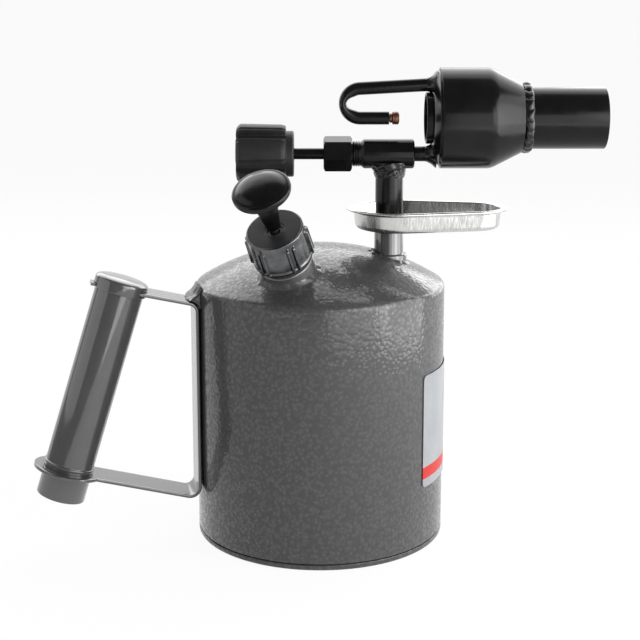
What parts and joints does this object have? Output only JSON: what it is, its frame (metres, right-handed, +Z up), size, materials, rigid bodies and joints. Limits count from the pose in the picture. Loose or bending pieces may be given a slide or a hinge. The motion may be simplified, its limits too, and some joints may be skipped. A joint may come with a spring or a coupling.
{
  "type": "petrol blowlamp",
  "caption": "Petrol blowlamp with a domed tank, strap handle with tube grip, leaning hand pump, needle valve, preheating tray and horizontal burner with a vapour pipe.",
  "frame": {"origin": "on the tank's axis, at the flat underside of the base", "axes": "+Z up along the tank's axis; +X the way the burner fires; -Y towards the front, where the pump leans"},
  "size_m": [0.2926, 0.1429, 0.2448],
  "materials": {
    "hammer_paint": "glossy grey hammertone paint with fine orange peel",
    "smooth_paint": "smooth semi-gloss grey paint",
    "heat_black": "satin black heat-resistant paint",
    "black_plastic": "moulded black plastic, satin",
    "gloss_black_plastic": "moulded black plastic, glossy",
    "bright_plate": "bright zinc-plated sheet, pressed",
    "zinc_casting": "plated die casting, slightly worn",
    "brass": "plain turned brass",
    "nozzle_brass": "turned brass, tarnished towards copper",
    "plain_steel": "plain bright steel",
    "black_rubber": "black petrol-proof rubber",
    "graphite": "pressed graphite packing",
    "cotton": "twisted cotton",
    "cup_leather": "oiled leather",
    "label": "bare pale sticker with a plain red band"
  },
  "bodies": {
    "lamp": {"tank_body": "hammer_paint", "tank_base": "hammer_paint", "side_label": "label", "strap_weld": "hammer_paint", "tank_outlet": "smooth_paint", "filler_neck": "smooth_paint", "handle_strap": "smooth_paint", "grip_tube": "smooth_paint", "grip_cap": "smooth_paint", "tray_washer": "heat_black", "preheat_tray": "bright_plate", "riser_tube": "heat_black", "riser_weld": "heat_black", "pickup_tube": "brass", "wick": "cotton", "valve_body": "heat_black", "packing_ring": "graphite", "gland_follower": "brass", "packing_nut": "heat_black", "feed_tube": "heat_black", "burner_shell": "heat_black", "rear_plate": "heat_black", "mixing_tube": "heat_black", "flame_tube": "heat_black", "burner_weld": "heat_black", "vapour_pipe": "heat_black", "nozzle": "nozzle_brass"},
    "needle": {"valve_spindle": "heat_black"},
    "knob": {"control_knob": "black_plastic", "knob_screw": "plain_steel"},
    "pump": {"pump_barrel": "brass", "neck_gasket": "black_rubber", "check_valve_body": "brass", "check_valve_sleeve": "black_rubber"},
    "ring_nut": {"pump_cap": "zinc_casting", "cap_disc": "heat_black"},
    "plunger": {"pump_rod": "plain_steel", "pump_knob": "gloss_black_plastic", "pump_cup": "cup_leather", "cup_washer": "brass", "cup_nut": "plain_steel"}
  },
  "joints": [
    {"name": "needle_advance", "type": "slide", "parent": "lamp", "child": "needle", "axis": [-1, 0, 0], "range_m": [0, 0.0025]},
    {"name": "knob_turn", "type": "hinge", "parent": "needle", "child": "knob", "pos_m": [-0.0134, 0, 0.20067], "axis": [-1, 0, 0], "range_deg": [0, 720]},
    {"name": "pump_lift", "type": "slide", "parent": "lamp", "child": "pump", "axis": [-0.223, -0.5253, 0.8211], "range_m": [0, 0.125]},
    {"name": "cap_turn", "type": "hinge", "parent": "pump", "child": "ring_nut", "pos_m": [-0.01555, -0.03664, 0.14605], "axis": [-0.223, -0.5253, 0.8211], "range_deg": [0, 720]},
    {"name": "pump_stroke", "type": "slide", "parent": "pump", "child": "plunger", "axis": [-0.223, -0.5253, 0.8211], "range_m": [0, 0.06]}
  ],
  "couplings": [
    {"joint": "knob_turn", "follows": "needle_advance", "rad_per_m": 5026.5}
  ]
}
